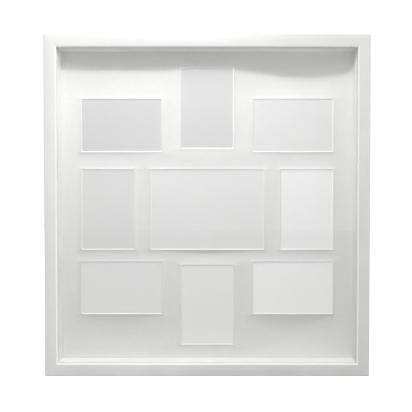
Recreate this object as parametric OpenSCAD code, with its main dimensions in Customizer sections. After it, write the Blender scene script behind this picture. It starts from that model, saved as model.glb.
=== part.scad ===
// Deep box collage frame: nine pictures behind a window mat whose board dips between its openings.
// Width runs along X, depth along Y with the front at -Y, and height along Z.
// The origin is the middle of the bottom rail's underside.

/* [Frame] */
// Outer width
frame_w = 572; // [560:1:700]
// Outer height
frame_h = 600; // [588:1:720]
// Width of a rail's face
rail_face = 22; // [19:0.5:24]
// How far the middle of a face stands proud of its edges
crown_rise = 1.2; // [0.5:0.1:2]
// Radius of the front arrises
arris_r = 2.5; // [1:0.1:3]
// Thickness of the lip in front of the pane
lip_t = 8; // [6:0.5:12]
// Width of the rabbet behind the lip
rabbet_w = 7; // [5:0.5:8]

/* [Stack in the rabbet] */
// Thickness of the clear pane
pane_t = 2; // [1.5:0.1:4]
// Depth of the front spacers, from the pane to the mat
front_spacer_d = 26; // [20:0.5:40]
// Thickness of the mat board
mat_t = 1.5; // [1:0.1:2]
// Depth of the rear spacers, from the mat to the backing
rear_spacer_d = 21.5; // [21:0.5:30]
// Thickness of the backing board
backing_t = 3; // [2:0.5:5]
// Play of the pane, the boards and the spacers in the rabbet
rabbet_play = 0.5; // [0.2:0.1:0.8]

/* [Windows] */
// Short side of the eight small windows
small_short = 95; // [85:1:97]
// Long side of the eight small windows
small_long = 145; // [130:1:149]
// Height of the large window
large_h = 145; // [125:1:150]
// Width of the large window
large_w = 205; // [180:1:210]
// From the opening's sides to the outer windows
side_margin = 36; // [32:1:42]
// From the large window to the windows beside it
middle_gap = 30.5; // [25:0.5:38]
// From the opening's top and bottom to the middle windows
end_margin = 27; // [25:1:31]
// From the large window to the windows over and under it, before the middle row is lowered
centre_gap = 33.5; // [28:0.5:40]
// From the mat's middle to the middle of the upper and lower outer windows
row_rise = 147.5; // [144:0.5:152]
// How far the middle row is lowered from the mat's middle
middle_drop = 5; // [0:0.5:6]
// How far a picture card runs behind the mat on each side
card_lap = 2.5; // [1.5:0.1:2.5]
// Thickness of a picture card
card_t = 0.8; // [0.3:0.1:1.5]

/* [Board relief] */
// Depth of the dips between the windows, if nothing held the board there
dip_d = 7; // [0:0.5:8]
// Extra depth over the upper right window
upper_dip_d = 26; // [0:1:26]
// Extra depth under the lower right window
lower_right_dip_d = 22; // [0:1:24]
// Extra depth under the lower left window
lower_left_dip_d = 12; // [0:1:24]
// Extra depth over the large window
over_centre_dip_d = 12; // [0:1:16]
// Extra depth under the large window
under_centre_dip_d = 9; // [0:1:16]
// Flat band round each window
flat_band = 3.5; // [3.5:0.5:5]
// Distance from a window's band over which the board falls away, above it
reach_up = 10; // [6:1:16]
// The same below a window
reach_down = 8; // [6:1:16]
// The same beside a window
reach_side = 14; // [8:1:20]
// Distance from the clamped rim over which the board falls away, at the left and right
rim_side_reach = 7; // [5:1:20]
// The same at the top
rim_top_reach = 5; // [4:1:20]
// The same at the bottom
rim_bottom_reach = 14; // [5:1:20]
// Longest side of a facet of the board
facet = 15; // [12:1:25]

/* [Turn buttons] */
// Distance of a turn button from its rail's middle
button_offset = 135; // [100:1:160]
// Length of a turn button from its pivot to its tip's centre
button_reach = 22; // [18:1:30]
// Radius of the end that is pivoted
button_r = 5.5; // [4:0.1:7]
// Radius of the free end
button_tip_r = 4; // [2.5:0.1:5]
// Thickness of a turn button
button_t = 1.2; // [0.8:0.1:2]
// Gap between a turn button and the frame's back
button_gap = 0.3; // [0.2:0.1:0.5]
// Radius of a pivot screw's shank
screw_r = 1.5; // [1.2:0.1:2]
// Running clearance of a turn button on its screw
pivot_play = 0.06; // [0.03:0.01:0.1]
// How deep a pivot screw goes into the rail
screw_depth = 12; // [8:1:20]
// Radius of a pivot screw's head
head_r = 3.2; // [2.8:0.1:4]
// Thickness of a pivot screw's head
head_t = 1.8; // [1:0.1:2]

/* [Hangers] */
// Height of the hangers below the top of the frame
hanger_drop = 80; // [60:1:120]
// Width of a hanger
hanger_w = 14; // [12:0.5:15]
// Thickness of a hanger's steel
hanger_t = 1.5; // [1:0.1:2]
// Clear length under a hanger's bridge
bridge_l = 26; // [24:1:34]
// Room between the rail and the bridge, for the wall screw's head
bridge_gap = 5; // [4.5:0.1:5.5]
// Length of a hanger's foot
foot_l = 10; // [9:0.5:14]
// Radius of the round hole that the wall screw's head goes through
key_r = 4.5; // [4:0.1:4.8]
// Radius of the slot that the wall screw's shank hangs in
slot_r = 2.4; // [2.3:0.1:2.8]
// Rise of the slot above the round hole
slot_rise = 11; // [9:0.5:12]
// Radius of a plate screw's shank
plate_screw_r = 1.4; // [1.2:0.1:1.6]
// Radius of a plate screw's countersunk head
plate_head_r = 2.6; // [2.2:0.1:2.8]
// How deep a plate screw goes into the rail
plate_screw_depth = 10; // [8:1:16]

/* [Pads and corner nails] */
// Radius of a wall pad
pad_r = 6; // [4:0.5:7]
// Thickness of a wall pad
pad_t = 7; // [6.5:0.1:9]
// Leg length of a corner nail
nail_leg = 5; // [3:0.5:6]
// Thickness of a corner nail
nail_t = 0.6; // [0.4:0.1:1]
// How deep a corner nail goes into the rails
nail_depth = 10; // [6:1:15]

/* [Hidden] */
$fn = 48;
cut = 1;

// Depths of the faces, from the front
rail_d = lip_t + pane_t + front_spacer_d + mat_t + rear_spacer_d + backing_t;
front_y = -rail_d / 2;
pane_y = front_y + lip_t;
spacer_y = pane_y + pane_t;
mat_y = spacer_y + front_spacer_d;
rear_y = mat_y + mat_t;
backing_y = rear_y + rear_spacer_d;
back_y = backing_y + backing_t;

// The opening that shows, and the rabbet's opening behind it
mid_z = frame_h / 2;
open_w = frame_w - 2 * rail_face;
open_h = frame_h - 2 * rail_face;
rabbet_open_w = open_w + 2 * rabbet_w;
rabbet_open_h = open_h + 2 * rabbet_w;
board_w = rabbet_open_w - 2 * rabbet_play;
board_h = rabbet_open_h - 2 * rabbet_play;
spacer_t = rabbet_w - rabbet_play;
wall_t = rail_face - rabbet_w;
wall_mid = wall_t / 2;

// The crowned face is an arc that runs tangent into the two arrises
crown_r = (pow(rail_face / 2, 2) + pow(crown_rise, 2)) / (2 * crown_rise);
arris_x = crown_r - sqrt(pow(crown_r - arris_r, 2) - pow(rail_face / 2 - arris_r, 2));
tangent_z = rail_face / 2 - (rail_face / 2 - arris_r) * crown_r / (crown_r - arris_r);

// Screws, nails and hangers
hole_play = 0.05;
head_gap = 0.15;
foot_corner_r = 2;
nail_places = [4, 9];
dimple_r = 1.8;
dimple_rise = 0.5;
head_taper = 0.8;
pad_taper = 0.9;

// The margins and gaps share the room that the windows leave, so a wider frame or a smaller window widens
// them all in proportion. At the real sizes each comes out as it is given.
spread_w = (open_w - 2 * small_short - large_w) / (2 * (side_margin + middle_gap));
spread_h = (open_h - 2 * small_long - large_h) / (2 * (end_margin + centre_gap));

// Windows, seen from the front: name, middle x and z from the mat's middle, width and height
outer_x = open_w / 2 - side_margin * spread_w;
end_z = open_h / 2 - end_margin * spread_h;
middle_z = -middle_drop * spread_h;
land_x = outer_x - small_long / 2;
port_x = outer_x - small_short / 2;
end_mid_z = end_z - small_long / 2;
windows = [
    ["top_left", -land_x, row_rise, small_long, small_short],
    ["top_centre", 0, end_mid_z, small_short, small_long],
    ["top_right", land_x, row_rise, small_long, small_short],
    ["middle_left", -port_x, middle_z, small_short, small_long],
    ["centre", 0, middle_z, large_w, large_h],
    ["middle_right", port_x, middle_z, small_short, small_long],
    ["bottom_left", -land_x, -row_rise, small_long, small_short],
    ["bottom_centre", 0, -end_mid_z, small_short, small_long],
    ["bottom_right", land_x, -row_rise, small_long, small_short]
];
window_names = [for (w = windows) w[0]];

function half_w(w) = w[3] / 2;
function half_h(w) = w[4] / 2;

// The deeper dips: middle x and z, how far each runs to the sides and up and down, and its depth
dips = [
    [land_x + small_short / 4, end_z - flat_band, 0.6 * small_long, 0.45 * small_short, upper_dip_d],
    [land_x, -end_z + small_short / 6, 0.43 * small_long, 0.45 * small_short, lower_right_dip_d],
    [-land_x, -end_z + small_short / 6, 0.43 * small_long, 0.45 * small_short, lower_left_dip_d],
    [0, row_rise - small_short / 3, 0.46 * large_w, 0.27 * small_short, over_centre_dip_d],
    [0, -row_rise + small_short * 2 / 3, 0.34 * large_w, 0.15 * small_short, under_centre_dip_d]
];

// Distance from a window's flat band as a share of the reach on that side
function window_gap(w, x, z) =
    let (side = max(abs(x - w[1]) - half_w(w) - flat_band, 0) / reach_side)
    let (up = max(z - w[2] - half_h(w) - flat_band, 0) / reach_up)
    let (down = max(w[2] - half_h(w) - flat_band - z, 0) / reach_down)
    norm([side, up, down]);

// Distance from the clamped rim as a share of the reach, for each of the four sides
function rim_gaps(x, z) = [
    (open_w / 2 - x) / rim_side_reach, (open_w / 2 + x) / rim_side_reach,
    (open_h / 2 - z) / rim_top_reach, (open_h / 2 + z) / rim_bottom_reach
];

// How hard a window or the rim holds the board, from how far away it is
closest_gap = 0.00001;
relief_step = 0.001;
function hold(gap) = 1 / max(gap, closest_gap);
function rounded(d) = round(d / relief_step) * relief_step;
function total(list, i = 0) = i < len(list) ? list[i] + total(list, i + 1) : 0;
function dip(d, x, z) = d[4] * exp(-pow((x - d[0]) / d[2], 2) - pow((z - d[1]) / d[3], 2));

// How far forward of its rim the board lies: level with it on the windows' flat bands, behind it between
function relief(x, z) =
    let (depth = dip_d + total([for (d = dips) dip(d, x, z)]))
    let (window_holds = total([for (w = windows) hold(window_gap(w, x, z))]))
    let (rim_holds = total([for (gap = rim_gaps(x, z)) hold(gap)]))
    -rounded(depth / (1 + window_holds + rim_holds));

// Grid lines of the board: its edges, the opening's edges, and each window's edges and flat band
function sorted(v) = len(v) < 2 ? v :
    let (p = v[floor(len(v) / 2)])
    concat(sorted([for (a = v) if (a < p) a]), [p], sorted([for (a = v) if (a > p) a]));
function span_lines(mid, half) = [mid - half - flat_band, mid - half, mid + half, mid + half + flat_band];
function flat(lists) = [for (l = lists) for (a = l) a];
function split(lines) = [
    for (i = [0 : len(lines) - 2])
        let (n = ceil((lines[i + 1] - lines[i]) / facet))
        for (k = [0 : n - 1]) lines[i] + (lines[i + 1] - lines[i]) * k / n,
    lines[len(lines) - 1]
];
grid_x = split(sorted(concat(
    [-board_w / 2, -open_w / 2, open_w / 2, board_w / 2],
    flat([for (w = windows) span_lines(w[1], half_w(w))])
)));
grid_z = split(sorted(concat(
    [-board_h / 2, -open_h / 2, open_h / 2, board_h / 2],
    flat([for (w = windows) span_lines(w[2], half_h(w))])
)));
cols = len(grid_x);
rows = len(grid_z);

function cell_open(i, j) =
    i < 0 || j < 0 || i > cols - 2 || j > rows - 2 ? false :
    let (x = (grid_x[i] + grid_x[i + 1]) / 2)
    let (z = (grid_z[j] + grid_z[j + 1]) / 2)
    len([for (w = windows) if (abs(x - w[1]) < half_w(w) && abs(z - w[2]) < half_h(w)) 1]) > 0;
open_cells = [for (i = [0 : cols - 2]) [for (j = [0 : rows - 2]) cell_open(i, j)]];
function is_open(i, j) = i >= 0 && j >= 0 && i < cols - 1 && j < rows - 1 && open_cells[i][j];
function is_board(i, j) = i >= 0 && j >= 0 && i < cols - 1 && j < rows - 1 && !open_cells[i][j];

// A front point on a window's edge steps back from it, so that the cut face slopes by 45 degrees. The step
// stays short of half a cell, where the corner cell's triangles would turn flat.
longest_step = 0.45;
function step(lines, i, to) = min(mat_t, abs(lines[i + to] - lines[i]) * longest_step) * to;
function edge_step(lines, i, after, before) =
    after == before ? 0 : after ? step(lines, i, -1) : step(lines, i, 1);
function bevel_x(i, j) =
    edge_step(grid_x, i, is_open(i, j) || is_open(i, j - 1), is_open(i - 1, j) || is_open(i - 1, j - 1));
function bevel_z(i, j) =
    edge_step(grid_z, j, is_open(i, j) || is_open(i - 1, j), is_open(i, j - 1) || is_open(i - 1, j - 1));

front_points = [for (i = [0 : cols - 1]) for (j = [0 : rows - 1])
    [grid_x[i] + bevel_x(i, j), -relief(grid_x[i], grid_z[j]), grid_z[j] + bevel_z(i, j)]];
back_points = [for (i = [0 : cols - 1]) for (j = [0 : rows - 1])
    [grid_x[i], mat_t - relief(grid_x[i], grid_z[j]), grid_z[j]]];
function front(i, j) = i * rows + j;
function back(i, j) = cols * rows + i * rows + j;
function pair(a, b, c, d) = [[a, b, c], [a, c, d]];
board_faces = flat([for (i = [0 : cols - 2]) for (j = [0 : rows - 2]) if (is_board(i, j)) concat(
    pair(front(i, j), front(i, j + 1), front(i + 1, j + 1), front(i + 1, j)),
    pair(back(i, j), back(i + 1, j), back(i + 1, j + 1), back(i, j + 1)),
    is_board(i - 1, j) ? [] : pair(front(i, j), back(i, j), back(i, j + 1), front(i, j + 1)),
    is_board(i + 1, j) ? [] :
        pair(front(i + 1, j + 1), back(i + 1, j + 1), back(i + 1, j), front(i + 1, j)),
    is_board(i, j - 1) ? [] : pair(front(i + 1, j), back(i + 1, j), back(i, j), front(i, j)),
    is_board(i, j + 1) ? [] :
        pair(front(i, j + 1), back(i, j + 1), back(i + 1, j + 1), front(i + 1, j + 1))
)]);

// Turn buttons: name, rail angle about Y, and which side of the rail's middle
buttons = [
    ["bottom_left", 0, -1], ["bottom_right", 0, 1],
    ["left_lower", 90, 1], ["left_upper", 90, -1],
    ["top_left", 180, 1], ["top_right", 180, -1],
    ["right_lower", -90, -1], ["right_upper", -90, 1]
];

// Turns what is drawn for the bottom rail, outer edge at z = 0, round to the rail at this angle
module on_rail(angle) {
    reach = angle == 0 || angle == 180 ? frame_h / 2 : frame_w / 2;
    translate([0, 0, mid_z]) rotate([0, angle, 0]) translate([0, 0, -reach]) children();
}

// Extrudes an outline drawn in x and z from one depth to another
module slab(from_y, to_y) {
    translate([0, to_y, 0]) rotate([90, 0, 0]) linear_extrude(to_y - from_y) children();
}

module round_rect(w, h, r) {
    square([w - 2 * r, h], center = true);
    square([w, h - 2 * r], center = true);
    for (x = [-1, 1], y = [-1, 1]) translate([x * (w / 2 - r), y * (h / 2 - r)]) circle(r);
}

// Section of a rail: depth along x, and width from the outer edge along y
module rail_section() {
    difference() {
        union() {
            translate([arris_x, 0]) square([rail_d - arris_x, rail_face]);
            for (z = [arris_r, rail_face - arris_r]) translate([arris_x, z]) circle(arris_r);
            intersection() {
                translate([crown_r, rail_face / 2]) circle(crown_r, $fn = 240);
                translate([0, tangent_z]) square([arris_x + cut, rail_face - 2 * tangent_z]);
            }
        }
        translate([lip_t, wall_t]) square([rail_d, rabbet_w + cut]);
    }
}

// Two legs that meet on the mitre, so that each lies in one rail
module nail_outline() {
    square([nail_leg, nail_t]);
    square([nail_t, nail_leg]);
}

module corner_nail_pair(length) {
    for (side = [0, 1], place = nail_places) mirror([side, 0, 0])
        translate([-length / 2 + place, 0, place]) slab(back_y - nail_depth, back_y) nail_outline();
}

module rail(angle, length, height) {
    on_rail(angle) difference() {
        intersection() {
            translate([-length / 2, front_y, 0]) rotate([90, 0, 90]) linear_extrude(length) rail_section();
            slab(front_y - cut, back_y + cut) polygon([
                [-length / 2, 0], [length / 2, 0],
                [length / 2 - rail_face, rail_face], [-length / 2 + rail_face, rail_face]
            ]);
        }
        corner_nail_pair(length);
        for (side = [-1, 1]) translate([side * button_offset, back_y - screw_depth, wall_mid])
            rotate([-90, 0, 0]) cylinder(r = screw_r + hole_play, h = screw_depth + cut);
    }
}

module side_rail(side) {
    difference() {
        rail(-side * 90, frame_h, frame_w);
        at_hanger(side) plate_screw_shanks(hole_play);
    }
}

module rail_bottom() { color("white") rail(0, frame_w, frame_h); }
module rail_top() { color("white") rail(180, frame_w, frame_h); }
module rail_left() { color("white") side_rail(-1); }
module rail_right() { color("white") side_rail(1); }

module corner_nails() {
    color("gray") for (angle = [0, 180]) on_rail(angle) corner_nail_pair(frame_w);
}

module sheet(w, h, from_y, to_y) {
    translate([0, 0, mid_z]) slab(from_y, to_y) square([w, h], center = true);
}

module pane() { color("lightcyan", 0.4) sheet(board_w, board_h, pane_y, spacer_y); }
module backing_board() { color("sienna") sheet(board_w, board_h, backing_y, back_y); }

// The upper and lower spacers run right across, and the side ones stand between them
module level_spacer(side, from_y, to_y) {
    translate([0, 0, mid_z + side * (open_h + spacer_t) / 2])
        slab(from_y, to_y) square([board_w, spacer_t], center = true);
}

module upright_spacer(side, from_y, to_y) {
    translate([side * (open_w + spacer_t) / 2, 0, mid_z])
        slab(from_y, to_y) square([spacer_t, open_h], center = true);
}

module front_spacer_bottom() { color("white") level_spacer(-1, spacer_y, mat_y); }
module front_spacer_top() { color("white") level_spacer(1, spacer_y, mat_y); }
module front_spacer_left() { color("white") upright_spacer(-1, spacer_y, mat_y); }
module front_spacer_right() { color("white") upright_spacer(1, spacer_y, mat_y); }
module rear_spacer_bottom() { color("wheat") level_spacer(-1, rear_y, backing_y); }
module rear_spacer_top() { color("wheat") level_spacer(1, rear_y, backing_y); }
module rear_spacer_left() { color("wheat") upright_spacer(-1, rear_y, backing_y); }
module rear_spacer_right() { color("wheat") upright_spacer(1, rear_y, backing_y); }

module mat_board() {
    color("snow") translate([0, mat_y, mid_z])
        polyhedron(points = concat(front_points, back_points), faces = board_faces);
}

// A card is glued to the back of its window's flat band
module card(w) {
    translate([w[1], rear_y, mid_z + w[2]])
        slab(0, card_t) square([w[3] + 2 * card_lap, w[4] + 2 * card_lap], center = true);
}

// Outline of a turn button, pivot at the origin and tip along y
module button_outline() {
    lean = acos((button_r - button_tip_r) / button_reach);
    circle(button_r);
    translate([0, button_reach]) circle(button_tip_r);
    polygon([
        for (s = [-1, 1]) [s * button_r * sin(lean), button_r * cos(lean)],
        for (s = [1, -1]) [s * button_tip_r * sin(lean), button_reach + button_tip_r * cos(lean)]
    ]);
}

module button(b) {
    color("silver") on_rail(b[1]) translate([b[2] * button_offset, back_y + button_gap, wall_mid]) {
        slab(0, button_t) difference() {
            button_outline();
            circle(screw_r + pivot_play);
        }
        translate([0, button_t, button_reach]) rotate([-90, 0, 0])
            cylinder(r1 = dimple_r, r2 = dimple_r / 2, h = dimple_rise);
    }
}

module button_screws() {
    color("silver") for (b = buttons) on_rail(b[1])
        translate([b[2] * button_offset, back_y - screw_depth, wall_mid]) rotate([-90, 0, 0]) {
            rise = button_gap + button_t + head_gap;
            cylinder(r = screw_r, h = screw_depth + rise);
            translate([0, 0, screw_depth + rise]) cylinder(r1 = head_r, r2 = head_r * head_taper, h = head_t);
        }
}

// Puts a hanger's parts on a side rail's back, with z up from the round hole's middle
module at_hanger(side) {
    translate([side * (frame_w / 2 - wall_mid), back_y, frame_h - hanger_drop]) children();
}

// The hanger is a strip bent to a bridge between two feet, centred above the round hole
hanger_rise = bridge_gap + hanger_t;
bridge_half = bridge_l / 2 + hanger_t;
hanger_l = 2 * (bridge_half + foot_l);
hanger_mid = slot_rise / 2;
plate_screws = [for (side = [-1, 1]) hanger_mid + side * (bridge_half + foot_l / 2)];

module bridge_profile() {
    difference() {
        union() {
            translate([0, -hanger_l / 2]) square([hanger_t, hanger_l]);
            translate([0, -bridge_half]) square([hanger_rise, 2 * bridge_half]);
        }
        translate([-cut, -bridge_l / 2]) square([bridge_gap + cut, bridge_l]);
    }
}

module key_outline() {
    circle(key_r);
    translate([0, slot_rise]) circle(slot_r);
    translate([-slot_r, 0]) square([2 * slot_r, slot_rise]);
}

module plate_screw_shanks(grow) {
    for (z = plate_screws) translate([0, -plate_screw_depth, z]) rotate([-90, 0, 0])
        cylinder(r = plate_screw_r + grow, h = plate_screw_depth + hanger_t);
}

module plate_screw_heads(grow) {
    for (z = plate_screws) translate([0, 0, z]) rotate([-90, 0, 0])
        cylinder(r1 = plate_screw_r + grow, r2 = plate_head_r + grow, h = hanger_t);
}

module hanger(side) {
    color("silver") at_hanger(side) difference() {
        intersection() {
            translate([-hanger_w / 2, 0, hanger_mid]) rotate([90, 0, 90])
                linear_extrude(hanger_w) bridge_profile();
            slab(0, hanger_rise) translate([0, hanger_mid]) round_rect(hanger_w, hanger_l, foot_corner_r);
        }
        slab(bridge_gap - cut, hanger_rise + cut) key_outline();
        plate_screw_heads(hole_play);
    }
}

module hanger_left() { hanger(-1); }
module hanger_right() { hanger(1); }

module hanger_screws() {
    color("silver") for (side = [-1, 1]) at_hanger(side) {
        plate_screw_shanks(0);
        plate_screw_heads(0);
    }
}

module wall_pads() {
    color("gainsboro") for (side = [-1, 1])
        translate([side * (frame_w / 2 - rail_face - pad_r), back_y, wall_mid]) rotate([-90, 0, 0])
            cylinder(r1 = pad_r, r2 = pad_r * pad_taper, h = pad_t);
}

rail_bottom();
rail_top();
rail_left();
rail_right();
corner_nails();
pane();
front_spacer_bottom();
front_spacer_top();
front_spacer_left();
front_spacer_right();
mat_board();
for (w = windows) color("lightgray") card(w);
rear_spacer_bottom();
rear_spacer_top();
rear_spacer_left();
rear_spacer_right();
backing_board();
for (b = buttons) button(b);
button_screws();
hanger_left();
hanger_right();
hanger_screws();
wall_pads();
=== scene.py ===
# %% [markdown]
# A white box frame for nine pictures, dressed for a studio photograph.
#
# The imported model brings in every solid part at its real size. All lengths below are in
# millimetres, and `mm` turns them into Blender's metres.

# %% Load the frame
import math
import random

import bmesh
import bpy
import numpy as np
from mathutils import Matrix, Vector


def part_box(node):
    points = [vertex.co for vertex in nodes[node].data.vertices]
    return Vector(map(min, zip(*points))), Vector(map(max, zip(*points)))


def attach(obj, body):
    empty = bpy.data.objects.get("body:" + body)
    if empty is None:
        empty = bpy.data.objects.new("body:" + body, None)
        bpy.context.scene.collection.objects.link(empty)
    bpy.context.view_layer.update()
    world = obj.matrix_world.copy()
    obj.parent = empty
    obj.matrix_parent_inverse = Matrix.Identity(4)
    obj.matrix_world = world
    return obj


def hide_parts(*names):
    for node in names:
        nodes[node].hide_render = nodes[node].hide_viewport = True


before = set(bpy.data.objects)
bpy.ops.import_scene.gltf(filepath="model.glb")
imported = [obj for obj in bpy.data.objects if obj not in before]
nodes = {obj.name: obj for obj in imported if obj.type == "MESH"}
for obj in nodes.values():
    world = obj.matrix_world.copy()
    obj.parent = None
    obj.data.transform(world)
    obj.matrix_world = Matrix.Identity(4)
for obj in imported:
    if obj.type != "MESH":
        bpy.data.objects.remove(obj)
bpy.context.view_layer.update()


def mm(length):
    return length * 0.001


# %% [markdown]
# The sizes repeat what the model was built with, so that the new pieces fit it. Window positions
# are measured from the middle of the mat, which is the middle of the frame. In the photograph the
# windows look a little smaller than the model's and sit a little lower, and they are drawn so.

# %% Sizes
FRAME_W, FRAME_H, RAIL_FACE, RABBET_W, SLACK = 572, 600, 22, 7, 1
OPEN_W, OPEN_H = FRAME_W - 2 * RAIL_FACE, FRAME_H - 2 * RAIL_FACE
BOARD_W, BOARD_H = OPEN_W + 2 * RABBET_W - SLACK, OPEN_H + 2 * RABBET_W - SLACK
MID_Z = FRAME_H / 2
MAT_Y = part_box("front_spacer_top")[1].y * 1000
BACK_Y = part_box("backing_board")[1].y * 1000
MAT_T, FLAT_BAND = 1.5, 3.5

SHORT, LONG, LARGE = 95, 145, 205
CORNER_X, CORNER_Z = 155.5, 147.5
COLUMN_Z, FLANK_X, ROW_Z = 178.5, 180.5, -5
MODEL_WINDOWS = {
    "top_left": (-CORNER_X, CORNER_Z, LONG, SHORT),
    "top_centre": (0, COLUMN_Z, SHORT, LONG),
    "top_right": (CORNER_X, CORNER_Z, LONG, SHORT),
    "middle_left": (-FLANK_X, ROW_Z, SHORT, LONG),
    "centre": (0, ROW_Z, LARGE, LONG),
    "middle_right": (FLANK_X, ROW_Z, SHORT, LONG),
    "bottom_left": (-CORNER_X, -CORNER_Z, LONG, SHORT),
    "bottom_centre": (0, -COLUMN_Z, SHORT, LONG),
    "bottom_right": (CORNER_X, -CORNER_Z, LONG, SHORT),
}
SMALLER, LOWER = 2, 2
WINDOWS = {
    name: (x, z - LOWER, wide - SMALLER, high - SMALLER)
    for name, (x, z, wide, high) in MODEL_WINDOWS.items()
}
print("mat's front at y =", round(MAT_Y, 2), "mm, back at", round(BACK_Y, 2), "mm")

# %% [markdown]
# Every material is a small graph of nodes. `add` makes one node, sets its properties and fills its
# inputs: a number or colour goes straight into the input, and a socket is linked to it.

# %% Node helpers
def linear(hex_code, share=1):
    """A colour written as sRGB hex, as linear values, with this share of its light left."""
    parts = [int(hex_code[i:i + 2], 16) / 255 for i in (1, 3, 5)]
    return [share * (p / 12.92 if p < 0.04045 else ((p + 0.055) / 1.055) ** 2.4) for p in parts] + [1]


def feed(tree, socket, value):
    if isinstance(value, bpy.types.NodeSocket):
        tree.links.new(value, socket)
    else:
        socket.default_value = value


def add(tree, kind, inputs=None, **settings):
    node = tree.nodes.new(kind)
    for name, value in settings.items():
        setattr(node, name, value)
    for name, value in (inputs or {}).items():
        feed(tree, node.inputs[name], value)
    return node


def pattern(tree, size, stretch=(1, 1, 1), detail=2):
    """Soft noise whose blobs are about this many millimetres across, longer where it is stretched."""
    place = add(tree, "ShaderNodeTexCoord").outputs["Object"]
    scale = [1 / mm(size * s) for s in stretch]
    moved = add(tree, "ShaderNodeMapping", {"Vector": place, "Scale": scale}).outputs["Vector"]
    noise = add(tree, "ShaderNodeTexNoise", {"Vector": moved, "Scale": 1, "Detail": detail})
    return noise.outputs["Fac"]


def remap(tree, value, low, high, to_low, to_high):
    """Stretches the range from low to high. Soft noise seldom leaves 0.3 to 0.7."""
    inputs = {"Value": value, "From Min": low, "From Max": high, "To Min": to_low, "To Max": to_high}
    return add(tree, "ShaderNodeMapRange", inputs).outputs["Result"]


def blend_colours(tree, factor, first, second):
    """Goes from one colour to the other as the factor runs from 0 to 1."""
    factor_in, first_in, second_in, colour_out = 0, 6, 7, 2
    node = add(tree, "ShaderNodeMix", data_type="RGBA")
    for index, value in ((factor_in, factor), (first_in, first), (second_in, second)):
        feed(tree, node.inputs[index], value)
    return node.outputs[colour_out]


def calculate(tree, operation, first, second=0):
    return add(tree, "ShaderNodeMath", {0: first, 1: second}, operation=operation).outputs[0]


def bump(tree, height, depth):
    """Turns a height into a normal. The depth is how many millimetres a height of 1 stands for."""
    return add(tree, "ShaderNodeBump", {"Height": height, "Distance": mm(depth)}).outputs["Normal"]


def start_material(name):
    material = bpy.data.materials.new(name)
    material.use_nodes = True
    material.node_tree.nodes.clear()
    return material, material.node_tree


def finish_material(tree, **inputs):
    """Adds the main shader with these inputs and the output."""
    named = {name.replace("_", " "): value for name, value in inputs.items()}
    shader = add(tree, "ShaderNodeBsdfPrincipled", named)
    add(tree, "ShaderNodeOutputMaterial", {"Surface": shader.outputs["BSDF"]})


# %% [markdown]
# White satin lacquer on fibreboard. Lacquer has a fine orange peel, a faint cloudiness where the
# coat is thicker, and tiny specks of dust under the surface. In the photograph the rails get greyer
# from the upper left to the lower right, more than this lamp makes them, and the lacquer carries
# that as a tint of painted shade. The photograph also shows a bright line along the sight edge,
# which runs inward from the rounded arris to the pane, so that edge is drawn a purer white, a
# painted highlight. `past_edge` measures how far a point lies outside the opening, so it is zero on
# that edge.

# %% Lacquered rails
def white_lacquer():
    material, tree = start_material("white_lacquer")
    place = add(tree, "ShaderNodeTexCoord").outputs["Object"]
    point = add(tree, "ShaderNodeSeparateXYZ", {"Vector": place}).outputs
    # Painted shade: the lacquer gets greyer toward the bottom and the right, with a random cloud of tone
    # on top.
    lower = remap(tree, point["Z"], mm(FRAME_H), 0, 0, 0.55)
    rightward = remap(tree, point["X"], mm(-FRAME_W / 2), mm(FRAME_W / 2), 0, 0.45)
    cloud = remap(tree, pattern(tree, 90), 0.35, 0.65, -0.1, 0.1)
    painted_shade_and_tone = calculate(tree, "ADD", calculate(tree, "ADD", lower, rightward), cloud)
    tint = blend_colours(tree, painted_shade_and_tone, linear("#E7E7E6"), linear("#C8C8C6"))
    specks = remap(tree, pattern(tree, 1.1), 0.74, 0.8, 0, 0.35)
    tint = blend_colours(tree, specks, tint, linear("#C4C2BD"))

    beside = calculate(tree, "SUBTRACT", calculate(tree, "ABSOLUTE", point["X"]), mm(OPEN_W / 2))
    height = calculate(tree, "ABSOLUTE", calculate(tree, "SUBTRACT", point["Z"], mm(MID_Z)))
    past_edge = calculate(tree, "MAXIMUM", beside, calculate(tree, "SUBTRACT", height, mm(OPEN_H / 2)))
    # Painted highlight: the sight edge is drawn a purer white, standing in for the bright line of light
    # along it.
    painted_highlight = remap(tree, past_edge, mm(0.5), mm(2.4), 1, 0)
    tint = blend_colours(tree, painted_highlight, tint, linear("#F8F8F7"))
    finish_material(
        tree, Base_Color=tint, Roughness=remap(tree, pattern(tree, 25), 0.3, 0.7, 0.5, 0.6),
        Coat_Weight=0.6, Coat_Roughness=0.22, Normal=bump(tree, pattern(tree, 1.4), 0.02)
    )
    return material


# %% [markdown]
# The spacers inside the frame are wrapped in matt white foil, which follows the board's slight
# unevenness. In the photograph those at the top and the right are darker than this lamp makes them,
# so their foil is drawn a shade greyer, as painted shade. The hidden spacers are sawn softwood with
# its grain along the length.

# %% Spacers and wood
# The top and right foils are greyer as painted shade; the bottom and left are the foil's own white.
FOIL_GREYS_WITH_PAINTED_SHADE = {"bottom": "#F7F7F6", "top": "#EDEDEC", "left": "#F7F7F6", "right": "#E1E1E0"}


def matt_foil(name, hex_code):
    material, tree = start_material(name)
    cloud = remap(tree, pattern(tree, 40), 0.35, 0.65, 0, 1)
    tint = blend_colours(tree, cloud, linear(hex_code), linear(hex_code, 0.97))
    finish_material(tree, Base_Color=tint, Roughness=0.6, Normal=bump(tree, pattern(tree, 3), 0.03))
    return material


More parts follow.
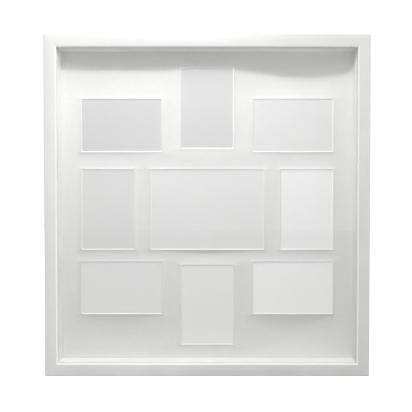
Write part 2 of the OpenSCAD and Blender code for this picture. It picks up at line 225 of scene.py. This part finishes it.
def sawn_wood(name, along):
    """Softwood with growth rings and darker fibres, both drawn out along one axis."""
    material, tree = start_material(name)
    stretch = [40 if axis == along else 1 for axis in "xyz"]
    rings = remap(tree, pattern(tree, 4, stretch, detail=4), 0.35, 0.65, 0, 1)
    tint = blend_colours(tree, rings, linear("#D9BD90"), linear("#B98F5E"))
    fibres = pattern(tree, 0.5, stretch, detail=3)
    tint = blend_colours(tree, remap(tree, fibres, 0.45, 0.75, 0, 0.4), tint, linear("#8F6A41"))
    finish_material(tree, Base_Color=tint, Roughness=0.75, Normal=bump(tree, fibres, 0.15))
    return material


# %% [markdown]
# Hardboard is pressed from brown wood fibres: mottled over a few millimetres, with darker fibres
# that lie every way, and a smooth face that shines a little. Real fibres are thinner than a pixel,
# so these are drawn 0.8 mm thick.

# %% Hardboard
def hardboard():
    material, tree = start_material("hardboard")
    mottle = remap(tree, pattern(tree, 4, detail=6), 0.3, 0.7, 0, 1)
    tint = blend_colours(tree, mottle, linear("#856043"), linear("#94704F"))
    lying, standing = pattern(tree, 0.8, (7, 1, 1), detail=3), pattern(tree, 0.8, (1, 1, 7), detail=3)
    fibres = remap(tree, calculate(tree, "MAXIMUM", lying, standing), 0.58, 0.8, 0, 0.7)
    tint = blend_colours(tree, fibres, tint, linear("#5B3F29"))
    gloss = remap(tree, mottle, 0, 1, 0.42, 0.55)
    finish_material(tree, Base_Color=tint, Roughness=gloss, Normal=bump(tree, fibres, 0.05))
    return material


# %% [markdown]
# The mat is white board with a linen grain: fine threads in both directions, some thicker than
# others. Its cut edges show the plain core. The cards are smooth, with the faint cloudiness of
# paper held against the light.

# %% Mat board and cards
def linen_board():
    material, tree = start_material("linen_board")
    across, upward = pattern(tree, 0.7, (30, 1, 1)), pattern(tree, 0.7, (1, 1, 30))
    threads = calculate(tree, "MAXIMUM", across, upward)
    shade = remap(tree, threads, 0.45, 0.75, 0, 1)
    tint = blend_colours(tree, shade, linear("#DEDEDD"), linear("#E5E5E4"))
    finish_material(tree, Base_Color=tint, Roughness=0.85, Normal=bump(tree, threads, 0.12))
    return material


def board_core():
    material, tree = start_material("board_core")
    fibres = pattern(tree, 0.3, (6, 1, 6))
    tint = blend_colours(tree, fibres, linear("#F6F6F4"), linear("#EFEEEB"))
    finish_material(tree, Base_Color=tint, Roughness=0.9, Normal=bump(tree, fibres, 0.05))
    return material


def plain_card(name, hex_code):
    material, tree = start_material(name)
    cloud = remap(tree, pattern(tree, 6, detail=4), 0.3, 0.7, 0, 1)
    tint = blend_colours(tree, cloud, linear(hex_code), linear(hex_code, 0.985))
    finish_material(tree, Base_Color=tint, Roughness=0.7, Normal=bump(tree, pattern(tree, 0.4), 0.01))
    return material


# %% [markdown]
# The pane is clear float glass. The lamp's light passes it without a shadow, so the mat is lit as if
# the pane were not there. A trace of smear on its face changes only how rough it is.

# %% Pane, metal and pads
def clear_glass():
    material, tree = start_material("clear_glass")
    smear = remap(tree, pattern(tree, 60, (1, 1, 3)), 0.45, 0.8, 0, 0.03)
    glass = add(tree, "ShaderNodeBsdfPrincipled", {
        "Base Color": (1, 1, 1, 1), "Roughness": smear, "IOR": 1.5, "Transmission Weight": 1.0
    })
    through = add(tree, "ShaderNodeBsdfTransparent")
    is_shadow = add(tree, "ShaderNodeLightPath").outputs["Is Shadow Ray"]
    mixed = add(tree, "ShaderNodeMixShader", {0: is_shadow, 1: glass.outputs[0], 2: through.outputs[0]})
    add(tree, "ShaderNodeOutputMaterial", {"Surface": mixed.outputs[0]})
    return material


def zinc_steel():
    """Zinc-plated steel: a blue-white sheen, rolling marks, and duller patches."""
    material, tree = start_material("zinc_steel")
    patch = remap(tree, pattern(tree, 5, detail=4), 0.35, 0.65, 0, 1)
    tint = blend_colours(tree, patch, linear("#C9CCCE"), linear("#B4B3AE"))
    marks = bump(tree, pattern(tree, 0.25, (20, 1, 20)), 0.01)
    gloss = remap(tree, patch, 0, 1, 0.24, 0.4)
    finish_material(tree, Base_Color=tint, Metallic=1.0, Roughness=gloss, Normal=marks)
    return material


def soft_bumper():
    """Milky soft plastic with dust on it."""
    material, tree = start_material("soft_bumper")
    dust = remap(tree, pattern(tree, 1.5, detail=4), 0.5, 0.75, 0, 1)
    tint = blend_colours(tree, dust, linear("#DAD9D2"), linear("#B9B6AC"))
    gloss = remap(tree, dust, 0, 1, 0.35, 0.6)
    grit = bump(tree, dust, 0.03)
    finish_material(tree, Base_Color=tint, Roughness=gloss, Subsurface_Weight=0.2, Normal=grit)
    return material


# %% [markdown]
# Each part that is kept from the model now gets its material.

# %% Materials on the model's parts
lacquer, board, steel = white_lacquer(), hardboard(), zinc_steel()
glass, bumper = clear_glass(), soft_bumper()
wood_across, wood_up = sawn_wood("wood_across", "x"), sawn_wood("wood_up", "z")


def dress(name, material):
    mesh = nodes[name].data
    mesh.materials.clear()
    mesh.materials.append(material)


for side, grey in FOIL_GREYS_WITH_PAINTED_SHADE.items():
    dress("rail_" + side, lacquer)
    dress("front_spacer_" + side, matt_foil("foil_" + side, grey))
    dress("rear_spacer_" + side, wood_across if side in ("bottom", "top") else wood_up)
for name in ("hanger_left", "hanger_right", "corner_nails"):
    dress(name, steel)
dress("pane", glass)
dress("backing_board", board)
print("materials:", len(bpy.data.materials))

# %% [markdown]
# The mat board's surface dips between its windows, as if the glued board had drawn back where
# nothing held it. Each window and the rim hold the board forward, harder the closer they are.
# Four places dip deeper than the rest, and one, under the top window, stays flatter. Much the same
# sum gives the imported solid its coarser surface, with a wider flat band round each window. Here the
# dips start right at the slanted cuts.

# %% The mat's relief
BASE_DIP = 7
REACH_UP, REACH_DOWN, REACH_SIDE = 10, 8, 14
RIM_SIDE, RIM_TOP, RIM_BOTTOM = 7, 5, 14
COLUMN_END = COLUMN_Z + LONG / 2
TINY = 0.00001

# Each row is a place's middle, its reach to the sides, its reach up and down, and its extra depth.
DIPS = [
    (CORNER_X + SHORT / 4, COLUMN_END - FLAT_BAND, 0.6 * LONG, 0.45 * SHORT, 26),
    (CORNER_X, SHORT / 6 - COLUMN_END, 0.43 * LONG, 0.45 * SHORT, 22),
    (-CORNER_X, SHORT / 6 - COLUMN_END, 0.43 * LONG, 0.45 * SHORT, 12),
    (0, 90, 0.44 * LARGE, 0.23 * SHORT, -6.5),
    (0, SHORT * 2 / 3 - CORNER_Z, 0.34 * LARGE, 0.15 * SHORT, 9),
]


def hold(gap):
    """How hard an edge holds the board, from the distance to it as a share of the edge's reach."""
    return 1 / np.maximum(gap, TINY)


def sunk(x, z, band):
    """How far behind its rim the board lies, for arrays of x and z from the mat's middle."""
    wider = FLAT_BAND - band
    depth = BASE_DIP + sum(
        deep * np.exp(-((x - dip_x) / wide) ** 2 - ((z - dip_z) / high) ** 2)
        for dip_x, dip_z, wide, high, deep in DIPS
    )
    holds = 1 + hold((OPEN_W / 2 - abs(x)) / RIM_SIDE)
    holds = holds + hold((OPEN_H / 2 - z) / RIM_TOP) + hold((OPEN_H / 2 + z) / RIM_BOTTOM)
    for mid_x, mid_z, width, height in WINDOWS.values():
        aside = np.maximum(abs(x - mid_x) - width / 2 - band, 0) / (REACH_SIDE + wider)
        above = np.maximum(z - mid_z - height / 2 - band, 0) / (REACH_UP + wider)
        below = np.maximum(mid_z - height / 2 - band - z, 0) / (REACH_DOWN + wider)
        holds = holds + hold(np.sqrt(aside ** 2 + above ** 2 + below ** 2))
    return depth / holds


# %% [markdown]
# The board is a grid of small cells whose lines run along every window's edge. The front points on
# a window's edge step back from it, which gives the slanted cut of a mat cutter. The photograph
# hardly shows a cut at the windows' left edges, so it is steeper there. The back stays flat along
# each window, where its card is glued on, unless the front dips so deep that the board would get
# too thin. Points nearer than `CLOSE` to an edge count as lying on it.

# %% Points of the mat
CELL, THINNEST = 3.0, 0.4
LEFT_CUT, PAST_CUT = 0.6, 1.4 * MAT_T
CLOSE = 0.01


def grid_lines(outer, opening, spans):
    """The lines along one axis: all edges, and enough lines between them to keep cells small."""
    lines = {-outer / 2, -opening / 2, opening / 2, outer / 2}
    for middle, width in spans:
        for half in (width / 2, width / 2 + PAST_CUT, width / 2 + FLAT_BAND):
            lines |= {middle - half, middle + half}
    lines = sorted(lines)
    fine = []
    for start, end in zip(lines, lines[1:]):
        count = math.ceil((end - start) / CELL)
        fine += [start + (end - start) * i / count for i in range(count)]
    return np.array(fine + [lines[-1]])


def mat_points(xs, zs):
    """The points of the board's front, and those of its back."""
    x, z = np.meshgrid(xs, zs, indexing="ij")
    front_y = MAT_Y + sunk(x, z, band=MAT_T)
    back_y = np.maximum(MAT_Y + MAT_T + sunk(x, z, band=FLAT_BAND), front_y + THINNEST)
    front = np.stack([x, front_y, MID_Z + z], axis=-1)
    back = np.stack([x, back_y, MID_Z + z], axis=-1)
    for mid_x, mid_z, width, height in WINDOWS.values():
        in_x, in_z = abs(x - mid_x) < width / 2 + CLOSE, abs(z - mid_z) < height / 2 + CLOSE
        on_side = in_x & in_z & (abs(abs(x - mid_x) - width / 2) < CLOSE)
        on_level = in_x & in_z & (abs(abs(z - mid_z) - height / 2) < CLOSE)
        front[..., 0] += np.where(on_side, np.where(x < mid_x, -LEFT_CUT, MAT_T), 0)
        front[..., 2] += np.where(on_level, np.sign(z - mid_z) * MAT_T, 0)
    return front, back


# %% [markdown]
# Cells inside a window are left out. Every other cell gets a face in front and one behind, and
# where the next cell is missing, a wall closes the edge and shows the board's core.

# %% Build the mat
LINEN, CORE = 0, 1


def mat_faces(solid):
    rows = solid.shape[1] + 1
    size = (solid.shape[0] + 1) * rows
    faces, kinds = [], []
    padded = np.pad(solid, 1)
    for i, j in zip(*np.nonzero(solid)):
        corner = [i * rows + j, i * rows + j + 1, (i + 1) * rows + j + 1, (i + 1) * rows + j]
        faces.append(corner[::-1])
        faces.append([size + c for c in corner])
        kinds += [LINEN, LINEN]
        neighbours = ((i, j + 1, 0, 1), (i + 1, j + 2, 1, 2), (i + 2, j + 1, 2, 3), (i + 1, j, 3, 0))
        for next_i, next_j, a, b in neighbours:
            if not padded[next_i, next_j]:
                faces.append([corner[a], corner[b], size + corner[b], size + corner[a]])
                kinds.append(CORE)
    return faces, kinds


def build_mat():
    xs = grid_lines(BOARD_W, OPEN_W, [(mid_x, width) for mid_x, _, width, _ in WINDOWS.values()])
    zs = grid_lines(BOARD_H, OPEN_H, [(mid_z, height) for _, mid_z, _, height in WINDOWS.values()])
    cell_x, cell_z = np.meshgrid((xs[1:] + xs[:-1]) / 2, (zs[1:] + zs[:-1]) / 2, indexing="ij")
    solid = np.ones(cell_x.shape, bool)
    for mid_x, mid_z, width, height in WINDOWS.values():
        solid &= (abs(cell_x - mid_x) > width / 2) | (abs(cell_z - mid_z) > height / 2)

    front, back = mat_points(xs, zs)
    points = mm(np.concatenate([front.reshape(-1, 3), back.reshape(-1, 3)]))
    faces, kinds = mat_faces(solid)
    used = sorted({p for face in faces for p in face})
    number = {p: k for k, p in enumerate(used)}
    mesh = bpy.data.meshes.new("mat_relief")
    mesh.from_pydata(points[used].tolist(), [], [[number[p] for p in face] for face in faces])
    mesh.materials.append(linen_board())
    mesh.materials.append(board_core())
    mesh.polygons.foreach_set("material_index", kinds)
    mesh.polygons.foreach_set("use_smooth", [kind == LINEN for kind in kinds])
    mesh.update()
    mat = bpy.data.objects.new("mat_relief", mesh)
    bpy.context.scene.collection.objects.link(mat)
    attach(mat, "root")
    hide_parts("mat_board")
    print("mat:", len(faces), "faces, deepest dip", round(front[..., 1].max() - MAT_Y, 1), "mm")


build_mat()

# %% [markdown]
# A small part is a list of points and a list of faces. `new_piece` turns them into an object that
# rides on a body of the model and takes the place of one of its parts. Faces that meet at a small
# angle are shaded smooth, and sharper edges stay crisp.

# %% A helper for small parts
SMOOTH_BELOW = 35


def new_piece(name, points, faces, material, body, node, slot):
    mesh = bpy.data.meshes.new(name)
    mesh.from_pydata([[mm(c) for c in point] for point in points], [], faces)
    shape = bmesh.new()
    shape.from_mesh(mesh)
    bmesh.ops.recalc_face_normals(shape, faces=shape.faces)
    shape.to_mesh(mesh)
    shape.free()
    mesh.materials.append(material)
    mesh.polygons.foreach_set("use_smooth", [True] * len(mesh.polygons))
    mesh.set_sharp_from_angle(angle=math.radians(SMOOTH_BELOW))
    piece = bpy.data.objects.new(name, mesh)
    bpy.context.scene.collection.objects.link(piece)
    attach(piece, body)
    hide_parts(node)


# %% [markdown]
# Nine cards close the windows from behind, and each laps its window by `CARD_OVER` all round. They
# are plain grey. In the photograph their brightness changes less than this lamp's light does, so
# the greys get lighter toward the lower right, as painted light against the lamp's fall-off.

# %% Picture cards
# Painted light: the greys get lighter toward the lower right, making up for the lamp's fall-off there.
CARD_GREYS_WITH_PAINTED_LIGHT = {
    "top_left": "#CCCCCC", "top_centre": "#CECECE", "top_right": "#DEDEDE",
    "middle_left": "#DCDCDC", "centre": "#E2E2E2", "middle_right": "#F0F0F0",
    "bottom_left": "#E8E8E8", "bottom_centre": "#ECECEC", "bottom_right": "#F6F6F6",
}
CARD_T, CARD_OVER = 0.8, 0.3
BOX_FACES = [(0, 1, 3, 2), (4, 6, 7, 5), (0, 4, 5, 1), (2, 3, 7, 6), (0, 2, 6, 4), (1, 5, 7, 3)]

for window, (mid_x, mid_z, width, height) in WINDOWS.items():
    half_w, half_h = width / 2 + CARD_OVER, height / 2 + CARD_OVER
    corners = [
        (mid_x + side * half_w, MAT_Y + MAT_T + depth, MID_Z + mid_z + level * half_h)
        for side in (-1, 1) for depth in (0, CARD_T) for level in (-1, 1)
    ]
    card = plain_card("card_" + window, CARD_GREYS_WITH_PAINTED_LIGHT[window])
    new_piece("picture_" + window, corners, BOX_FACES, card, "root", "card_" + window, "grey_card")
print("cards:", len(WINDOWS))

# %% [markdown]
# Turned and pressed parts are stacks of rings: each ring has the same number of points round an
# axis that runs out of the frame's back, and is joined to the next.

# %% Rings
ROUND = 32


def circle(radius, depth, count=ROUND):
    turns = [2 * math.pi * k / count for k in range(count)]
    return [(radius * math.cos(turn), depth, radius * math.sin(turn)) for turn in turns]


def join_rings(rings, closed=False):
    count = len(rings[0])
    faces = []
    for ring in range(len(rings) if closed else len(rings) - 1):
        first, second = ring * count, (ring + 1) % len(rings) * count
        for k in range(count):
            after = (k + 1) % count
            faces.append([first + k, second + k, second + after, first + after])
    return [point for ring in rings for point in ring], faces


def stack(profile, count=ROUND):
    """A solid with this radius and depth at each ring, and both of its ends closed."""
    points, faces = join_rings([circle(radius, depth, count) for radius, depth in profile])
    return points, faces + [list(range(count)), list(range(len(points) - count, len(points)))]


def gather(shapes):
    """Joins several lists of points and faces into one."""
    points, faces = [], []
    for more_points, more_faces in shapes:
        faces += [[len(points) + p for p in face] for face in more_faces]
        points += more_points
    return points, faces


def put(shape, x, y, z, turn=0):
    """Turns a shape about its axis, by degrees, and moves it to its place."""
    points, faces = shape
    c, s = math.cos(math.radians(turn)), math.sin(math.radians(turn))
    return [(x + px * c + pz * s, y + py, z - px * s + pz * c) for px, py, pz in points], faces


# %% [markdown]
# A screw's head has a cross pressed into it, smaller at its floor: `FLOOR_LENGTH` and `FLOOR_WIDTH`
# are shares of its size at the top. The flat top round the cross is four large faces and four small
# triangles at the ends of its arms.

# %% A screw's head
CROSS_POINTS = 12
FLOOR_LENGTH, FLOOR_WIDTH = 0.55, 0.7


def cross(length, width, depth):
    corners = []
    for quarter in range(4):
        c, s = math.cos(quarter * math.pi / 2), math.sin(quarter * math.pi / 2)
        for x, z in ((length / 2, -width / 2), (length / 2, width / 2), (width / 2, width / 2)):
            corners.append((x * c - z * s, depth, x * s + z * c))
    return corners


def screw_head(profile, length, width, deep):
    """A head from its radius and depth at each ring, and the cross in its top."""
    points, faces = join_rings([circle(radius, depth) for radius, depth in profile])
    faces.append(list(range(ROUND)))
    height = profile[-1][1]
    rim, top, bottom = len(points) - ROUND, len(points), len(points) + CROSS_POINTS
    points += cross(length, width, height)
    points += cross(FLOOR_LENGTH * length, FLOOR_WIDTH * width, height - deep)
    for quarter in range(4):
        arc = [rim + (quarter * ROUND // 4 + k) % ROUND for k in range(ROUND // 4 + 1)]
        tip = top + 3 * quarter
        next_tip = top + 3 * ((quarter + 1) % 4)
        faces.append(arc + [next_tip, tip + 2, tip + 1])
        faces.append([arc[0], tip, tip + 1])
    for k in range(CROSS_POINTS):
        after = (k + 1) % CROSS_POINTS
        faces.append([top + k, top + after, bottom + after, bottom + k])
    faces.append([bottom + k for k in range(CROSS_POINTS)])
    return points, faces


# %% [markdown]
# Pan heads hold the turn buttons, and countersunk ones sit flush in the hangers' feet. No two
# screws end up turned alike.

# %% Screws
RAIL_MID = (RAIL_FACE - RABBET_W) / 2
SIDE_X, BUTTON_OFFSET = FRAME_W / 2 - RAIL_MID, 135
BUTTONS = {
    "bottom_left": (-BUTTON_OFFSET, RAIL_MID, 0),
    "bottom_right": (BUTTON_OFFSET, RAIL_MID, 0),
    "left_lower": (-SIDE_X, MID_Z - BUTTON_OFFSET, 90),
    "left_upper": (-SIDE_X, MID_Z + BUTTON_OFFSET, 90),
    "top_left": (-BUTTON_OFFSET, FRAME_H - RAIL_MID, 180),
    "top_right": (BUTTON_OFFSET, FRAME_H - RAIL_MID, 180),
    "right_lower": (SIDE_X, MID_Z - BUTTON_OFFSET, -90),
    "right_upper": (SIDE_X, MID_Z + BUTTON_OFFSET, -90),
}
HANGER_Z, FOOT_SCREWS = FRAME_H - 80, (-14, 25)
PAN_HEAD = ((1.5, 0), (1.5, 1.65), (3.2, 1.65), (3.2, 2), (3.05, 2.55), (2.6, 3.1), (1.95, 3.45))
FLUSH_HEAD = ((1.4, 0), (2.55, 1.4), (2.5, 1.5))
random.seed(7)

pan = screw_head(PAN_HEAD, length=3.4, width=0.9, deep=1.2)
pans = [put(pan, x, BACK_Y, z, random.uniform(0, 90)) for x, z, _ in BUTTONS.values()]
new_piece("pan_head_screws", *gather(pans), steel, "root", "button_screws", "steel")

flush = screw_head(FLUSH_HEAD, length=2.9, width=0.75, deep=0.9)
flushes = [
    put(flush, side * SIDE_X, BACK_Y, HANGER_Z + up, random.uniform(0, 90))
    for side in (-1, 1) for up in FOOT_SCREWS
]
new_piece("countersunk_screws", *gather(flushes), steel, "root", "hanger_screws", "steel")
print("screws:", len(pans), "with pan heads,", len(flushes), "countersunk")

# %% [markdown]
# A turn button is a pressed steel tongue with softened edges, a hole for its screw and a dimple
# near its tip to push it by. Its outline is two arcs joined by straight sides, and every point of
# the hole's ring faces one point of the outline.

# %% Turn buttons
BUTTON_GAP, BUTTON_T, BUTTON_REACH, SOFT_EDGE = 0.3, 1.2, 22, 0.25
PIVOT_R, TIP_R, HOLE_R = 5.5, 4, 1.56
TIP_STEPS, PIVOT_STEPS = 12, 20
DIMPLE = ((1.8, -0.05), (1.6, 0.2), (1.2, 0.4), (0.6, 0.5))
DIMPLE_POINTS = 20


def tongue(inset, depth):
    lean = math.acos((PIVOT_R - TIP_R) / BUTTON_REACH)
    tip = [-lean + 2 * lean * k / TIP_STEPS for k in range(TIP_STEPS + 1)]
    pivot = [lean + (2 * math.pi - 2 * lean) * k / PIVOT_STEPS for k in range(1, PIVOT_STEPS)]
    outline = []
    for turns, radius, middle in ((tip, TIP_R - inset, BUTTON_REACH), (pivot, PIVOT_R - inset, 0)):
        outline += [(radius * math.sin(turn), depth, middle + radius * math.cos(turn)) for turn in turns]
    return outline


def hole_ring(radius, depth):
    ring = []
    for x, _, z in tongue(0, 0):
        away = math.hypot(x, z)
        ring.append((radius * x / away, depth, radius * z / away))
    return ring


plate = join_rings([
    tongue(SOFT_EDGE, 0),
    tongue(0, SOFT_EDGE),
    tongue(0, BUTTON_T - SOFT_EDGE),
    tongue(SOFT_EDGE, BUTTON_T),
    hole_ring(HOLE_R + SOFT_EDGE, BUTTON_T),
    hole_ring(HOLE_R, BUTTON_T - SOFT_EDGE),
    hole_ring(HOLE_R, 0),
], closed=True)
dimple = stack([(radius, BUTTON_T + rise) for radius, rise in DIMPLE], DIMPLE_POINTS)
button = gather([plate, put(dimple, 0, 0, BUTTON_REACH)])

for name, (x, z, turn) in BUTTONS.items():
    node = "button_" + name
    new_piece("tongue_" + name, *put(button, x, BACK_Y + BUTTON_GAP, z, turn), steel, node, node, "steel")
print("turn buttons:", len(BUTTONS))

# %% [markdown]
# The two wall pads are soft domed bumpers that keep the frame's lower edge off the wall.

# %% Wall pads
PAD_R = 6
PAD_PROFILE = ((PAD_R, 0), (PAD_R, 0.6), (5.8, 5), (5.4, 6.2), (4.6, 6.8), (3.4, 7))
PAD_X = FRAME_W / 2 - RAIL_FACE - PAD_R

pads = [put(stack(PAD_PROFILE), side * PAD_X, BACK_Y, RAIL_MID) for side in (-1, 1)]
new_piece("domed_pads", *gather(pads), bumper, "root", "wall_pads", "soft_pad")
print("wall pads:", len(pads))

# %% [markdown]
# The floor is plain, pale and eight metres wide. Towards the camera it is shown a little brighter,
# as a backdrop lit by its own lamps would be, and it still takes the frame's shadow.

# %% Floor
FLOOR_HALF, FLOOR_GLOW = 4000, 0.5


def backdrop_white():
    material, tree = start_material("backdrop_white")
    grain = blend_colours(tree, pattern(tree, 300), linear("#DADAD8"), linear("#DEDEDC"))
    matt = add(tree, "ShaderNodeBsdfDiffuse", {"Color": grain})
    seen = add(tree, "ShaderNodeLightPath").outputs["Is Camera Ray"]
    strength = calculate(tree, "MULTIPLY", seen, FLOOR_GLOW)
    glow = add(tree, "ShaderNodeEmission", {"Color": (1, 1, 1, 1), "Strength": strength})
    both = add(tree, "ShaderNodeAddShader", {0: matt.outputs[0], 1: glow.outputs[0]})
    add(tree, "ShaderNodeOutputMaterial", {"Surface": both.outputs[0]})
    return material


floor_mesh = bpy.data.meshes.new("floor")
floor_corners = [
    (x * mm(FLOOR_HALF), y * mm(FLOOR_HALF), 0) for x, y in ((-1, -1), (1, -1), (1, 1), (-1, 1))
]
floor_mesh.from_pydata(floor_corners, [], [(0, 1, 2, 3)])
floor_mesh.materials.append(backdrop_white())
floor = bpy.data.objects.new("floor", floor_mesh)
bpy.context.scene.collection.objects.link(floor)
print("floor:", 2 * FLOOR_HALF, "mm wide")

# %% [markdown]
# One small soft lamp hangs in front of the frame, above it and a little to the left, close enough
# that its light falls off down the mat. It throws the top rail's shadow on the mat. Its diffuser
# makes the light fall off more slowly than a bare bulb's: a share of it goes with the distance and
# not with its square. At the distance `EVEN_AT` the lamp is just as bright as a bare bulb.

# %% Lamp
LAMP_FORWARD, LAMP_UP, LAMP_LEFT = 415, 620, 90
LAMP_POWER, LAMP_SIZE = 1.5, (100, 50)
EVEN_AT, EVEN_SHARE = 560, 0.78

light = bpy.data.lights.new("key", "AREA")
light.shape = "RECTANGLE"
light.size, light.size_y = (mm(side) for side in LAMP_SIZE)
light.energy = LAMP_POWER
light.use_nodes = True
light_tree = light.node_tree
light_tree.nodes.clear()
fall = add(light_tree, "ShaderNodeLightFalloff", {"Strength": 1.0})
slow = calculate(light_tree, "MULTIPLY", fall.outputs["Linear"], EVEN_SHARE / mm(EVEN_AT))
fast = calculate(light_tree, "MULTIPLY", fall.outputs["Quadratic"], 1 - EVEN_SHARE)
glow = add(light_tree, "ShaderNodeEmission", {"Strength": calculate(light_tree, "ADD", fast, slow)})
add(light_tree, "ShaderNodeOutputLight", {"Surface": glow.outputs[0]})

lamp_place = (-LAMP_LEFT, MAT_Y - LAMP_FORWARD, MID_Z + LAMP_UP)
lamp_aim = (0, 0, MID_Z)
lamp = bpy.data.objects.new("key", light)
lamp.location = [mm(p) for p in lamp_place]
direction = Vector([aim - place for aim, place in zip(lamp_aim, lamp_place)])
lamp.rotation_euler = direction.to_track_quat("-Z", "Y").to_euler()
bpy.context.scene.collection.objects.link(lamp)
print("lamp:", LAMP_POWER, "W at", [round(p) for p in lamp_place], "mm")

# %% [markdown]
# The pale room fills in the rest of the light, and its right side is the brightest. The camera sees
# it as plain white.

# %% Room
FILL, RIGHT_SIDE = 0.94, 0.40

world = bpy.data.worlds.new("studio")
bpy.context.scene.world = world
world.use_nodes = True
room_tree = world.node_tree
room_tree.nodes.clear()
way = add(room_tree, "ShaderNodeTexCoord").outputs["Generated"]
rightward = add(room_tree, "ShaderNodeSeparateXYZ", {"Vector": way}).outputs["X"]
level = calculate(room_tree, "ADD", calculate(room_tree, "MULTIPLY", rightward, RIGHT_SIDE), FILL)
is_seen = add(room_tree, "ShaderNodeLightPath").outputs["Is Camera Ray"]
strength = calculate(room_tree, "MAXIMUM", level, is_seen)
room = add(room_tree, "ShaderNodeBackground", {"Color": (1, 1, 1, 1), "Strength": strength})
add(room_tree, "ShaderNodeOutputWorld", {"Surface": room.outputs[0]})
print("room: fill", FILL, "and right side", RIGHT_SIDE)

# %% [markdown]
# The camera stands straight in front, a touch above the middle, and looks at it. `VIEW_W` is how
# wide a view it takes in at the frame's front.

# %% Camera
FRONT_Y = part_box("rail_top")[0].y * 1000
AWAY, VIEW_W, ASIDE = 940, 721, -2.1
TILT = math.radians(1)

camera_data = bpy.data.cameras.new("camera")
camera_data.sensor_width = 36
camera_data.lens = camera_data.sensor_width * AWAY / VIEW_W
camera = bpy.data.objects.new("camera", camera_data)
camera.location = (mm(ASIDE), mm(FRONT_Y - AWAY), mm(MID_Z + AWAY * math.tan(TILT)))
camera.rotation_euler = (math.pi / 2 - TILT, 0, 0)
bpy.context.scene.collection.objects.link(camera)
bpy.context.scene.camera = camera
bpy.context.scene.view_settings.view_transform = "Standard"
print("camera:", AWAY, "mm before the frame, lens", round(camera_data.lens, 1), "mm")
